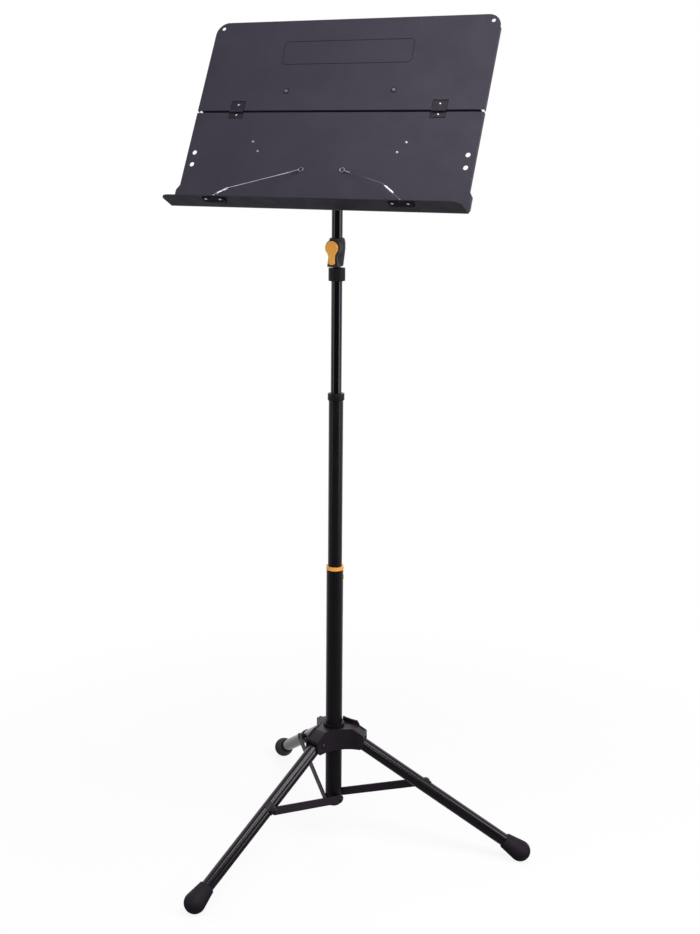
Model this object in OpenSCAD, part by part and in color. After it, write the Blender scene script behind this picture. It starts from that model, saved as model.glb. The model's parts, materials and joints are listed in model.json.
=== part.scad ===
// Folding orchestra music stand: two-panel sheet-metal desk on a telescopic shaft with a folding tripod.
// The floor is z = 0, the shaft stands on the z axis and the desk faces -y.

/* [Desk] */
// Width of the shelf and of the foot of the lower panel
shelf_w = 505; // [420:1:600]
// Width of the panels above the foot
panel_w = 494; // [400:1:590]
// Height of the whole desk, from the shelf bend to the top edge
desk_h = 337; // [280:1:400]
// Height of the fold line above the shelf bend
fold_h = 171; // [150:1:190]
// Gap between the two panels along the fold line
fold_gap = 4; // [2:0.1:6]
// Lean of the desk back from the vertical
desk_lean = 29; // [10:1:50]
// Depth of the shelf, from the desk face to its front edge
shelf_d = 45.5; // [34:0.1:60]
// Angle by which the shelf opens wider than square to the desk
shelf_open = 3.3; // [0:0.1:8]
// Outer radius of the bend between the desk and the shelf
bend_r = 2; // [1.6:0.1:3]
// Thickness of the sheet metal
sheet = 1.2; // [0.8:0.1:2]
// Depth of the stiffening flange round each panel
flange_d = 7; // [4:0.1:10]
// Radius of the top corners of the desk
desk_corner_r = 22; // [8:1:40]
// Radius of the front corners of the shelf
shelf_corner_r = 16; // [4:1:24]
// Height of the wide foot band of the lower panel
foot_band_h = 29; // [10:1:40]
// Height over which the foot band narrows to the panel width
shoulder_h = 9; // [4:1:20]
// Radius of the accessory holes in the sides of the lower panel
side_hole_r = 4; // [2:0.1:5]
// Radius of the holes in the top corners
corner_hole_r = 3.25; // [2:0.05:5]
// Distance of the side and corner holes from the panel edge
hole_inset = 12.7; // [9:0.1:16]
// Height of the lower side hole on the desk
side_hole_t = 75.5; // [60:0.1:80]
// Spacing of the two side holes
side_hole_pitch = 21.3; // [14:0.1:30]
// Width of the plain pressed border on the upper panel
plaque_w = 226; // [120:1:300]
// Height of the plain pressed border
plaque_h = 43; // [20:1:60]
// Height of the middle of the pressed border on the desk
plaque_t = 277; // [260:1:290]
// Width of the line that forms the border
plaque_line = 1.4; // [0.8:0.1:4]
// Depth of the line that forms the border
plaque_deep = 0.5; // [0.2:0.1:0.8]

/* [Desk hinges] */
// Distance of each hinge from the middle of the desk
hinge_s = 174; // [120:1:210]
// Width of a hinge leaf
hinge_w = 23; // [18:1:40]
// Height of the upper leaf above the fold line
hinge_up = 17.5; // [12:0.5:26]
// Height of the lower leaf below the fold line
hinge_down = 11; // [9:0.5:20]
// Thickness of a hinge leaf
leaf_t = 1.2; // [0.8:0.1:1.6]
// Depth of the pressed recess that a hinge leaf sits in
recess_d = 1.7; // [1.3:0.1:3]
// Radius of the hinge knuckle
knuckle_r = 2.2; // [1.8:0.1:3]
// Radius of the hinge pin
hinge_pin_r = 1; // [0.6:0.1:1.4]

/* [Desk locks] */
// Distance of each lock pivot from the middle of the desk
lock_s = 93; // [60:1:110]
// Height of each lock pivot above the fold line
lock_up = 36.8; // [24:0.1:50]
// Length of a lock bar from its pivot to its tip
lock_len = 58; // [45:1:70]
// Width of a lock bar
lock_w = 16; // [12:1:24]
// Thickness of a lock bar
lock_t = 2; // [1:0.1:3]

/* [Page holders] */
// Distance of each page holder pivot from the middle of the desk
holder_s = 157.5; // [130:0.5:190]
// Distance of each page holder pivot behind the shelf's front edge
holder_inset = 4; // [3:0.1:12]
// Distance of each holder eye from the middle of the desk
eye_s = 35.5; // [20:0.1:60]
// Height of each holder eye on the desk
eye_t = 68.1; // [50:0.1:90]
// Radius of the holder wire
wire_r = 0.65; // [0.4:0.05:1]
// Outer radius of the holder eye
eye_r = 4.4; // [3:0.1:6]
// Length of the twisted wire beside the eye
twist_len = 15; // [8:1:20]
// Outer radius of the holder spring
holder_spring_r = 1.85; // [1.3:0.05:3]
// Length of the left holder spring
left_spring_len = 20.5; // [10:0.5:22]
// Length of the right holder spring
right_spring_len = 24.5; // [12:0.5:30]
// Bare wire between the left spring and the left knee
left_spring_gap = 1.5; // [1:0.5:3]
// Bare wire between the right spring and the right knee
right_spring_gap = 8.5; // [1:0.5:10]
// Distance of the left knee from its pivot
left_knee = 23.5; // [20:0.5:32]
// Height of the left knee above the shelf's underside
left_knee_t = 19.8; // [17:0.1:26]
// Distance of the right knee from its pivot
right_knee = 41.7; // [32:0.1:52]
// Height of the right knee above the shelf's underside
right_knee_t = 34.4; // [28:0.1:42]
// Width of a holder bracket
holder_bracket_w = 40; // [34:1:60]
// Thickness of a holder bracket
holder_bracket_t = 2; // [1.5:0.1:4]
// Depth of a holder bracket
holder_bracket_d = 20; // [16:0.5:26]
// Bulge of a holder bracket's half-moon front
holder_bulge = 6; // [3:0.5:8]
// Spacing of the two rivets of a holder bracket
holder_rivet_pitch = 25.5; // [18:0.1:30]

/* [Tilt joint] */
// Distance of the tilt axis behind the desk face
tilt_back = 44.6; // [36:0.1:60]
// Height of the tilt axis up the desk
tilt_up = 120.9; // [100:0.1:140]
// Radius of the tilt barrel on top of the neck
barrel_r = 12; // [9:0.5:16]
// Width of the tilt barrel
barrel_w = 30; // [20:1:44]
// Radius of the tilt bolt
tilt_bolt_r = 4; // [3:0.1:5]
// Thickness of the desk bracket
bracket_t = 2.5; // [1.5:0.1:4]
// Height of the middle plate of the desk bracket
bracket_h = 60; // [50:1:80]
// Distance of the outer bracket rivets from the middle
wing_outer_s = 131.8; // [100:0.1:150]
// Height of the outer bracket rivets on the desk
wing_outer_t = 117; // [110:0.1:130]
// Distance of the inner bracket rivets from the middle
wing_inner_s = 119.7; // [90:0.1:130]
// Height of the inner bracket rivets on the desk
wing_inner_t = 99.9; // [90:0.1:108]
// Radius of the rivet heads on the desk
rivet_head_r = 2.4; // [2:0.1:4]
// Radius of the rivet shanks
rivet_r = 1.6; // [1:0.1:1.8]

/* [Shaft] */
// Height of the shaft's lowest point above the floor
shaft_bottom_z = 67; // [60:1:75]
// Height of the rounded plug below the lower tube
plug_cap_h = 6; // [4:0.5:10]
// Length of the lower tube
lower_len = 443; // [420:1:520]
// Outer diameter of the lower tube
lower_d = 29.2; // [28:0.1:30]
// Wall of the lower tube
lower_wall = 1.5; // [1:0.1:1.7]
// Outer diameter of the middle tube
middle_d = 24.5; // [24:0.1:24.8]
// Outer diameter of the upper tube
upper_d = 18.3; // [17:0.1:19]
// Wall of the middle, upper and neck tubes
tube_wall = 1.2; // [1:0.1:1.5]
// Height of the coloured ring on the lower tube
ring_h = 6; // [4:0.5:10]
// Diameter of the coloured ring
ring_d = 30; // [29.6:0.1:34]
// Drop of the ring's snap nub below the top of the lower tube
nub_drop = 14; // [9:0.5:20]
// Radius of the ring's snap nub
nub_r = 3; // [2:0.1:4]
// Height that the snap nub stands proud of the lower tube
nub_proud = 1.2; // [0.5:0.1:2]
// Direction of the snap nub round the shaft
nub_azimuth = 16; // [-180:1:180]
// Length of middle tube in view
middle_show = 293; // [230:1:330]
// Length of middle tube hidden in the lower tube
middle_hidden = 108; // [95:1:120]
// Height of the middle tube's collar
middle_collar_h = 12; // [8:0.5:20]
// Diameter of the middle tube's collar
middle_collar_d = 28.3; // [27:0.1:32]
// Length of upper tube in view
upper_show = 188.5; // [150:0.5:220]
// Length of upper tube hidden in the middle tube
upper_hidden = 195; // [190:1:220]
// Height of the upper tube's collar
upper_collar_h = 21.5; // [14:0.5:30]
// Diameter of the upper tube's collar
upper_collar_d = 27.8; // [24:0.1:32]
// Length of the sleeve of each guide bush
guide_len = 28; // [16:1:32]
// Length of each sliding foot bush
foot_bush_len = 8; // [6:1:12]
// Running clearance of each round running fit, on the radius
run_gap = 0.05; // [0.01:0.01:0.1]

/* [Neck and clamp] */
// Diameter of the spigot that the neck turns on
spigot_d = 12.3; // [10:0.1:14]
// Length of spigot between the collar and the clamp
spigot_show = 2.5; // [1:0.1:6]
// Length of spigot inside the clamp
spigot_in = 30; // [20:1:34]
// Height of the clamp body
clamp_h = 46; // [44:0.5:56]
// Diameter of the clamp body at its widest
clamp_d = 27.6; // [26:0.1:32]
// Diameter of the clamp body at its top
clamp_top_d = 25.2; // [23:0.1:26]
// Diameter of the clamp body at its bottom
clamp_foot_d = 21.4; // [20:0.1:26]
// Diameter of the neck tube
neck_d = 18.1; // [16:0.1:19]
// Depth that the neck tube is seated in the clamp body
neck_seat = 10; // [6:0.5:11]
// Height of the tilt axis above the clamp body
neck_rise = 134.5; // [125:0.5:160]
// Radius of the round head of the lever
lever_r = 11; // [8:0.1:13]
// Length of the lever from its axis to its tip
lever_len = 27.3; // [25:0.1:30]
// Width of the lever at its tip
lever_tip_w = 10.5; // [8:0.1:14]
// Radius of the hollow sides of the lever
lever_waist_r = 14; // [10:0.5:20]
// Thickness of the lever
lever_t = 6; // [4:0.1:9]
// Distance of the back of the lever from the shaft axis
lever_y = 19.5; // [17:0.1:22]
// Drop of the lever axis below the top of the clamp body
lever_drop = 15; // [13:0.5:20]
// Radius of the clamp screw that the lever turns on
clamp_screw_r = 3; // [2:0.1:4]

/* [Tripod] */
// Direction of the first leg round the shaft
leg_azimuth = -109.4; // [-180:0.1:180]
// Height of the leg pivots
leg_pivot_z = 198.8; // [195:0.1:205]
// Distance of each leg pivot from the shaft axis
leg_pivot_r = 41.1; // [40:0.1:46]
// Length of a leg from its pivot to the middle of its foot
leg_len = 348.1; // [335:0.1:375]
// Diameter of a leg tube
leg_d = 22.2; // [20:0.1:22.6]
// Wall of a leg tube
leg_wall = 1.3; // [1:0.1:2]
// Distance from a leg pivot to the start of the leg tube
leg_head_len = 14; // [12:0.5:18]
// Length of the leg head that plugs into the tube
leg_plug_len = 22; // [14:1:30]
// Radius of the leg pivot bolts
leg_bolt_r = 3; // [2.5:0.1:4]
// Play between a leg and each hub cheek
cheek_gap = 0.5; // [0.3:0.05:0.8]
// Thickness of a hub cheek
cheek_t = 3; // [2.5:0.1:4]
// Height of the hub's top above the leg pivots
hub_up = 25; // [21:0.5:30]
// Depth of the hub's lower edge below the leg pivots
hub_down = 14; // [11:0.5:20]
// Distance from the shaft axis to the outer edge of the hub
hub_reach = 57.5; // [54:0.5:62]
// Drop of the hub's sloping shoulder
hub_slope = 12.4; // [10:0.1:16]
// Distance along each arm at which the webs between the arms begin
web_s = 38; // [34:0.5:42]
// Distance from the shaft axis to the middle of each web
web_r = 26.6; // [24:0.1:28.5]
// Width of the rim round the hub's sunken top
hub_rim = 3; // [2:0.1:4]
// Height of the upstand beside the second arm, above the hub's top
upstand_h = 7.5; // [3:0.5:10]
// Thickness of the hub's sliding bush
hub_bush_t = 2; // [1.5:0.1:2.4]
// Radius of the rounded end of a foot
foot_r = 18.5; // [15:0.1:21]
// Height of the flat worn on the underside of a foot
foot_flat = 0.5; // [0.2:0.1:1.5]
// Length of a foot's sleeve above its round end
foot_sleeve = 33; // [26:1:50]
// Wall of a foot at the top of its sleeve
foot_wall = 2.5; // [1.5:0.1:3.5]

/* [Struts] */
// Height of the inner strut pivots
strut_pivot_z = 80.6; // [79:0.1:86]
// Distance along a leg to the outer strut pivot
strut_on_leg = 145.9; // [120:0.1:160]
// Width of a strut
strut_w = 15; // [12:0.5:16]
// Thickness of a strut
strut_t = 2.5; // [2:0.1:3]
// Play between a strut and the lower tube
strut_gap = 0.6; // [0.4:0.1:1]
// Radius of the strut pins and rivets
strut_pin_r = 2.5; // [2:0.1:3]
// Radius of the strut pin heads
strut_head_r = 4.5; // [4:0.1:5.5]
// Height of the strut pin heads
strut_head_h = 2; // [1:0.1:2.5]
// Width of the clip on a leg
clip_w = 14; // [12:0.5:18]
// Wall of the clip on a leg
clip_wall = 1.4; // [1:0.1:2]

/* [Hidden] */
$fn = 64;
// Gap kept between pieces that move past each other
gap = 0.3;
// Overshoot of a cutting solid, and overlap of two solids of one piece
eps = 0.5;
// Largest angle between two points of an outline's arc
arc_step = 6;
// Larger than any piece, for cutting away a half space
far = 1000;
// Share of a button head's height that is straight before its dome
dome_start = 0.3;

// Shaft
lower_r = lower_d / 2;
lower_in_r = lower_r - lower_wall;
middle_r = middle_d / 2;
middle_in_r = middle_r - tube_wall;
upper_r = upper_d / 2;
upper_in_r = upper_r - tube_wall;
lower_bottom_z = shaft_bottom_z + plug_cap_h;
lower_top_z = lower_bottom_z + lower_len;
ring_top_z = lower_top_z + ring_h;
middle_collar_z = ring_top_z + middle_show;
middle_collar_top_z = middle_collar_z + middle_collar_h;
collar_lip = 2;
middle_top_z = middle_collar_top_z - collar_lip;
middle_bottom_z = lower_top_z - middle_hidden;
upper_collar_z = middle_collar_top_z + upper_show;
upper_collar_top_z = upper_collar_z + upper_collar_h;
upper_top_z = upper_collar_top_z - collar_lip;
upper_bottom_z = middle_collar_z - upper_hidden;
bush_plug_len = 12;
plug_in_len = 27;

// Neck and clamp
spigot_r = spigot_d / 2;
clamp_z = upper_collar_top_z + spigot_show;
clamp_top_z = clamp_z + clamp_h;
spigot_top_z = clamp_z + spigot_in;
neck_r = neck_d / 2;
neck_bottom_z = clamp_top_z - neck_seat;
tilt_z = clamp_top_z + neck_rise;
neck_top_z = tilt_z - barrel_r - 6;
neck_plug_len = 16;
lever_z = clamp_top_z - lever_drop;
boss_grow = 2;
boss_foot_w = 18.4;

// Tilt joint and desk bracket, in the desk frame, whose origin is the tilt axis
face_y = -tilt_back;
back_y = face_y + sheet;
flange_y = face_y + flange_d;
bend_z = -tilt_up;
bend_centre = [back_y - bend_r, bend_z + bend_r];
fold_z = bend_z + fold_h;
top_z = bend_z + desk_h;
ear_x = barrel_w / 2 + gap;
ear_r = barrel_r + 2;
bracket_y = back_y + bracket_t;
tilt_head_r = tilt_bolt_r + 3;
tilt_head_h = 4;

// Fold line
lower_edge_z = fold_z - fold_gap / 2;
upper_edge_z = fold_z + fold_gap / 2;
fold_y = face_y - (knuckle_r - recess_d + leaf_t - 0.1);
knuckle_gap = 0.4;
knuckle_room = knuckle_r + knuckle_gap;
recess_play = 1.5;
leaf_rivet_in = 5;
relief_w = 5.5;
lip_y = flange_y + gap;
lip_up = 2.5;
lip_end = 6.5;

// Desk locks
lock_z = fold_z + lock_up;
lock_y = fold_y + norm([fold_gap / 2 + lip_up, lip_y + sheet - fold_y]) + gap;
lock_pin_r = 2;
lock_head_r = 3.3;
lock_shoulder_r = 4.5;
lock_head_h = 2;

// Page holders, in the shelf's frame
shelf_front = bend_r - sheet - shelf_d;
holder_y = shelf_front + holder_inset;
holder_bracket_front = shelf_front + 1;
holder_rivet_y = holder_y + 3.3;
holder_rivet_r = 1.2;
holder_rivet_head_r = 2.2;
holder_foot = gap - holder_bracket_t;
holder_bend = 3;
wire_elbow_r = wire_r * 1.18;
twist_r = wire_r * 1.6;
eye_place = shelf_point([face_y - gap - twist_r, bend_z + eye_t]);
holder_run = norm([holder_s - eye_s, eye_place.x - holder_y]);
holder_turn = atan2(eye_place.x - holder_y, -(holder_s - eye_s));

// Tripod
foot_z = foot_r - foot_flat;
leg_drop = asin((leg_pivot_z - foot_z) / leg_len);
leg_r = leg_d / 2;
leg_in_r = leg_r - leg_wall;
foot_insert = 4;
cheek_y = leg_r + cheek_gap;
hub_side = cheek_y + cheek_t;
hub_top_z = leg_pivot_z + hub_up;
hub_bottom_z = leg_pivot_z - hub_down;
hub_bush_in_r = lower_r + run_gap;
hub_bore_r = hub_bush_in_r + hub_bush_t;
hub_roof = 3;
roof_recess = 1.5;
sunk_z = hub_top_z - roof_recess;
slot_start = leg_pivot_r - leg_r - 4;
shoulder_r = leg_pivot_r - 4;
web_end = [web_s * cos(60) + hub_side * sin(60), web_s * sin(60) - hub_side * cos(60)];
web_hollow = web_end.x - web_r;
web_arc_r = (pow(web_end.y, 2) + pow(web_hollow, 2)) / (2 * web_hollow);
web_arc_x = web_r + web_arc_r;
bolt_head_r = leg_bolt_r + 1.6;
bolt_head_h = 2;
lip_h = 4;
lip_wall = 4;

// Struts
strut_y = lower_r + strut_gap;
outer_x = leg_pivot_r + strut_on_leg * cos(leg_drop);
outer_z = leg_pivot_z - strut_on_leg * sin(leg_drop);
strut_len = sqrt(pow(outer_x, 2) + pow(outer_z - strut_pivot_z, 2));
strut_rise = atan2(outer_z - strut_pivot_z, outer_x);
pin_root = 6;

// ---- Shared shapes ----

// Points of an arc round c, from angle a to angle b
function arc(c, r, a, b) = let (n = ceil(abs(b - a) / arc_step))
    [for (i = [0:n]) c + r * [cos(a + (b - a) * i / n), sin(a + (b - a) * i / n)]];

// Flat bar with round ends along +x, from the origin to x = len
function bar_outline(len, w) = concat(arc([0, 0], w / 2, 90, 270), arc([len, 0], w / 2, -90, 90));

// Rectangle centred on the origin with round corners
function round_box(w, h, r) = concat(
    arc([w / 2 - r, h / 2 - r], r, 0, 90), arc([r - w / 2, h / 2 - r], r, 90, 180),
    arc([r - w / 2, r - h / 2], r, 180, 270), arc([w / 2 - r, r - h / 2], r, 270, 360));

// Cylinder along y, from y = a to y = b
module y_cyl(r, a, b) {
    translate([0, b, 0]) rotate([90, 0, 0]) cylinder(r = r, h = b - a);
}

// Cylinder along x, from x = a to x = b
module x_cyl(r, a, b) {
    translate([a, 0, 0]) rotate([0, 90, 0]) cylinder(r = r, h = b - a);
}

// Ring or tube on the z axis, from z = a to z = b
module tube(r_out, r_in, a, b) {
    translate([0, 0, a]) difference() {
        cylinder(r = r_out, h = b - a);
        translate([0, 0, -eps]) cylinder(r = r_in, h = b - a + 2 * eps);
    }
}

// Button head that stands on z = 0, with a domed top
module button_head(r, h) {
    rotate_extrude() polygon([
        [0, 0], [r, 0], [r, dome_start * h], [0.85 * r, 0.65 * h], [0.5 * r, 0.92 * h], [0, h]]);
}

// A plate in the y-z plane, reaching half_w to each side
module plate_x(half_w, points) {
    rotate([90, 0, 90]) linear_extrude(2 * half_w, center = true) polygon(points);
}

// A plate in the x-z plane, from y = a to y = b
module plate_y(a, b, points) {
    translate([0, b, 0]) rotate([90, 0, 0]) linear_extrude(b - a) polygon(points);
}

// Cuts a plate's corner round, with the round's centre at the origin and the corner towards +x and -y
module corner_cut(r) {
    far_r = 1.5 * r;
    linear_extrude(4 * sheet, center = true) polygon(concat(
        [[far_r, -far_r], [far_r, 0]], arc([0, 0], r, 0, -90), [[0, -far_r]]));
}

module both_sides() {
    children();
    mirror([1, 0, 0]) children();
}

// ---- Frames ----

module leg_azimuth_frame(index) {
    rotate([0, 0, leg_azimuth + 120 * index]) children();
}

// Origin on the leg's pivot, +x down the leg
module leg_frame(index) {
    leg_azimuth_frame(index) translate([leg_pivot_r, 0, leg_pivot_z]) rotate([0, leg_drop, 0]) children();
}

// Origin on the strut's inner pivot, +x up the strut
module strut_frame(index) {
    leg_azimuth_frame(index) translate([0, 0, strut_pivot_z]) rotate([0, -strut_rise, 0]) children();
}

// Origin on the tilt axis, +z up the desk and -y out of its face
module desk_frame() {
    translate([0, 0, tilt_z]) rotate([-desk_lean, 0, 0]) children();
}

// Point of the shelf's y-z plane, given as a point of the desk's y-z plane
function shelf_point(p) = let (q = p - bend_centre) [
    q.x * cos(shelf_open) + q.y * sin(shelf_open),
    q.y * cos(shelf_open) - q.x * sin(shelf_open) + bend_r];

// The other way round: point of the desk's y-z plane, given as a point of the shelf's
function desk_point(p) = let (q = [p.x, p.y - bend_r]) bend_centre + [
    q.x * cos(shelf_open) - q.y * sin(shelf_open),
    q.x * sin(shelf_open) + q.y * cos(shelf_open)];

// Origin on the shelf's underside where the bend ends, -y out along the shelf and +z square to it
module shelf_frame() {
    desk_frame() translate([0, bend_centre.x, bend_centre.y]) rotate([shelf_open, 0, 0])
        translate([0, 0, -bend_r]) children();
}

// ---- Lower shaft ----

module lower_tube() {
    color("#17151b") difference() {
        tube(lower_r, lower_in_r, lower_bottom_z, lower_top_z);
        for (i = [0:2]) leg_azimuth_frame(i) translate([0, 0, strut_pivot_z]) y_cyl(strut_pin_r, 0, lower_d);
        rotate([0, 0, nub_azimuth]) translate([0, 0, lower_top_z - nub_drop]) x_cyl(nub_r, 0, lower_d);
    }
}

module bottom_plug() {
    color("#151316") difference() {
        rotate_extrude() polygon(concat(
            [[0, lower_bottom_z + plug_in_len], [0, shaft_bottom_z]],
            arc([lower_r - plug_cap_h, lower_bottom_z], plug_cap_h, -90, 0),
            [[lower_in_r, lower_bottom_z], [lower_in_r, lower_bottom_z + plug_in_len]]));
        for (i = [0:2]) leg_azimuth_frame(i) translate([0, 0, strut_pivot_z])
            y_cyl(strut_pin_r, pin_root, lower_d);
    }
}

module strut_pins() {
    head_y = strut_y + strut_t + gap;
    color("#2c2a30") for (i = [0:2]) leg_azimuth_frame(i) translate([0, 0, strut_pivot_z]) {
        y_cyl(strut_pin_r, pin_root, head_y);
        translate([0, head_y, 0]) rotate([-90, 0, 0]) button_head(strut_head_r, strut_head_h);
    }
}

// Coloured ring with its guide sleeve and the nub that snaps into the lower tube
module shaft_ring() {
    sleeve_in_r = middle_r + run_gap;
    color("#e79a3a") difference() {
        union() {
            tube(ring_d / 2, sleeve_in_r, lower_top_z, ring_top_z);
            tube(lower_in_r, sleeve_in_r, lower_top_z - guide_len, lower_top_z + eps);
            rotate([0, 0, nub_azimuth]) translate([0, 0, lower_top_z - nub_drop])
                x_cyl(nub_r, lower_in_r - eps, lower_r + nub_proud);
        }
        cylinder(r = sleeve_in_r, h = far);
    }
}

// ---- Hub ----

function turned(p, angle) = [p.x * cos(angle) - p.y * sin(angle), p.x * sin(angle) + p.y * cos(angle)];

// Half angle of a web's arc, drawn in by inset
function web_half_angle(inset) = asin((web_arc_x * sin(60) - hub_side + inset) / (web_arc_r + inset)) - 60;

// Arc of the web after the arm of this index, drawn in by inset
function web_points(index, inset, a, b) =
    [for (p = arc([web_arc_x, 0], web_arc_r + inset, 180 + a, 180 + b)) turned(p, 120 * index + 60)];

// Plan of the hub, drawn in by inset: three arms joined by hollow webs, the first arm along +x
function hub_plan(inset) = let (reach = hub_reach - inset, side = hub_side - inset, a = web_half_angle(inset))
    [for (i = [0:2]) each concat(
        [turned([reach, -side], 120 * i), turned([reach, side], 120 * i)], web_points(i, inset, a, -a))];

// What is cut off the outer end of an arm: the sloping shoulder above and a chamfer below
module hub_arm_trim() {
    over = hub_reach + 1;
    slope = hub_slope / (hub_reach - shoulder_r);
    plate_y(-hub_side - 1, hub_side + 1, [
        [shoulder_r, hub_top_z], [over, hub_top_z - slope * (over - shoulder_r)],
        [over, hub_top_z + 1], [shoulder_r, hub_top_z + 1]]);
    plate_y(-hub_side - 1, hub_side + 1, [
        [hub_reach - 6, hub_bottom_z - 1], [over, hub_bottom_z - 1], [over, hub_bottom_z + 8],
        [hub_reach - 1, hub_bottom_z + 6], [hub_reach - 6, hub_bottom_z]]);
}

// The slot that a leg folds down through, closed above by the roof, and the roof's sunken slope
module hub_slot() {
    over = hub_reach + 2;
    rim = hub_reach - hub_rim;
    slope = hub_slope / (hub_reach - shoulder_r);
    roof_z = sunk_z - hub_roof;
    plate_y(-cheek_y, cheek_y, [
        [slot_start, hub_bottom_z - 1], [over, hub_bottom_z - 1],
        [over, roof_z - slope * (over - shoulder_r)], [shoulder_r, roof_z], [slot_start, roof_z]]);
    plate_y(hub_rim - hub_side, hub_side - hub_rim, [
        [slot_start, sunk_z], [shoulder_r, sunk_z], [rim, sunk_z - slope * (rim - shoulder_r)],
        [rim, hub_top_z + 1], [slot_start, hub_top_z + 1]]);
}

// Raised wall along the second arm's half of one web and the cheek beside it
module hub_upstand() {
    root_z = hub_top_z - hub_slope / 2;
    end_s = web_s + 6;
    top_z = hub_top_z + upstand_h;
    leg_azimuth_frame(1) intersection() {
        translate([0, 0, root_z]) linear_extrude(far) polygon(concat(
            [[end_s, cheek_y], [end_s, hub_side]], web_points(0, 0, web_half_angle(0), 0),
            web_points(0, cheek_t, 0, web_half_angle(cheek_t))));
        plate_y(0, far, [
            [0, root_z], [end_s, root_z], [end_s, hub_top_z - 2], [web_s + 2, top_z - 3], [0, top_z]]);
    }
}

module hub() {
    color("#1b191d") {
        difference() {
            rotate([0, 0, leg_azimuth]) difference() {
                translate([0, 0, hub_bottom_z]) linear_extrude(hub_top_z - hub_bottom_z) polygon(hub_plan(0));
                translate([0, 0, sunk_z]) linear_extrude(far) polygon(hub_plan(hub_rim));
            }
            for (i = [0:2]) leg_azimuth_frame(i) {
                hub_arm_trim();
                hub_slot();
                translate([leg_pivot_r, 0, leg_pivot_z]) {
                    y_cyl(leg_bolt_r, -hub_side - 1, hub_side + 1);
                    y_cyl(bolt_head_r + gap, hub_side, hub_side + bolt_head_h);
                    y_cyl(bolt_head_r + gap, -hub_side - bolt_head_h, -hub_side);
                }
            }
            cylinder(r = hub_bore_r, h = far);
        }
        hub_upstand();
    }
}

module hub_bush() {
    color("#121013") {
        tube(hub_bore_r, hub_bush_in_r, hub_bottom_z, hub_top_z + lip_h);
        tube(hub_bore_r + lip_wall - hub_bush_t, hub_bore_r - eps, hub_top_z, hub_top_z + lip_h);
    }
}

module leg_bolts() {
    color("#3a383d") for (i = [0:2]) leg_azimuth_frame(i) translate([leg_pivot_r, 0, leg_pivot_z]) {
        y_cyl(leg_bolt_r, -hub_side - bolt_head_h, hub_side);
        translate([0, hub_side, 0]) rotate([-90, 0, 0]) button_head(bolt_head_r, bolt_head_h);
    }
}

module leg_nuts() {
    outer_y = hub_side + bolt_head_h;
    color("#3a383d") for (i = [0:2]) leg_azimuth_frame(i) translate([leg_pivot_r, 0, leg_pivot_z])
        difference() {
            translate([0, -hub_side, 0]) rotate([90, 0, 0]) cylinder(r = bolt_head_r, h = bolt_head_h, $fn = 6);
            y_cyl(leg_bolt_r, -outer_y - eps, -hub_side + eps);
        }
}

// ---- Legs ----

module leg_tube(index) {
    color("#17151b") leg_frame(index) rotate([0, 90, 0])
        tube(leg_r, leg_in_r, leg_head_len, leg_len - foot_insert);
}

// Pivot block between the hub cheeks, with a plug up the leg tube
module leg_head(index) {
    color("#121013") leg_frame(index) difference() {
        union() {
            y_cyl(leg_r, -leg_r, leg_r);
            translate([0, -leg_r, -leg_r * 0.7]) cube([leg_head_len, leg_d, leg_d * 0.7]);
            x_cyl(leg_in_r, leg_head_len - eps, leg_head_len + leg_plug_len);
        }
        y_cyl(leg_bolt_r + run_gap, -leg_d, leg_d);
    }
}

// Saddle on the strut's side of the leg, with the ear that the strut is riveted to
module leg_clip(index) {
    color("#1b191d") leg_frame(index) difference() {
        union() {
            x_cyl(leg_r + clip_wall, strut_on_leg - clip_w / 2, strut_on_leg + clip_w / 2);
            translate([strut_on_leg, 0, 0]) y_cyl(clip_w / 2 - 0.2, 0, strut_y - gap);
        }
        x_cyl(leg_r, 0, leg_len);
        translate([0, -leg_d, -leg_d]) cube([leg_len, leg_d, 2 * leg_d]);
    }
}

// Rubber boot, ground flat where it meets the floor
module foot(index) {
    mouth_x = leg_len - foot_sleeve;
    mouth_r = leg_r + foot_wall;
    cone = foot_sleeve - 1;
    touch = asin(foot_r / norm([mouth_r, cone])) - atan2(mouth_r, cone);
    color("#1d1b1e") difference() {
        leg_frame(index) rotate([0, 90, 0]) rotate_extrude() polygon(concat(
            [[0, mouth_x], [mouth_r - 1, mouth_x], [mouth_r, mouth_x + 1]],
            arc([0, leg_len], foot_r, -touch, 90)));
        leg_frame(index) x_cyl(leg_r, 0, leg_len - foot_insert);
        translate([-far, -far, -far]) cube([2 * far, 2 * far, far]);
    }
}

// ---- Struts ----

module strut(index) {
    color("#1a181c") strut_frame(index) difference() {
        plate_y(strut_y, strut_y + strut_t, bar_outline(strut_len, strut_w));
        y_cyl(strut_pin_r + run_gap, 0, lower_d);
        translate([strut_len, 0, 0]) y_cyl(strut_pin_r, 0, lower_d);
    }
}

module strut_rivet(index) {
    color("#8d8b90") strut_frame(index) translate([strut_len, 0, 0]) {
        y_cyl(strut_pin_r, strut_y, strut_y + strut_t);
        translate([0, strut_y + strut_t, 0]) rotate([-90, 0, 0]) button_head(strut_head_r, strut_head_h);
    }
}

// ---- Middle and upper tubes ----

module middle_tube() {
    color("#17151b") tube(middle_r, middle_in_r, middle_bottom_z, middle_top_z);
}

// Cap on a tube's top end: outer skirt, lip over the end, and a guide sleeve inside
module tube_collar(out_r, tube_r, tube_in_r, bore_r, z, end_z, top_z, sleeve) {
    rotate_extrude() polygon([
        [bore_r, top_z], [out_r - 0.8, top_z], [out_r, top_z - 0.8], [out_r, z + 0.8], [out_r - 0.8, z],
        [tube_r, z], [tube_r, end_z], [tube_in_r, end_z], [tube_in_r, end_z - sleeve],
        [bore_r, end_z - sleeve]]);
}

module middle_collar() {
    color("#121013") tube_collar(middle_collar_d / 2, middle_r, middle_in_r, upper_r + run_gap,
        middle_collar_z, middle_top_z, middle_collar_top_z, guide_len);
}

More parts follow.
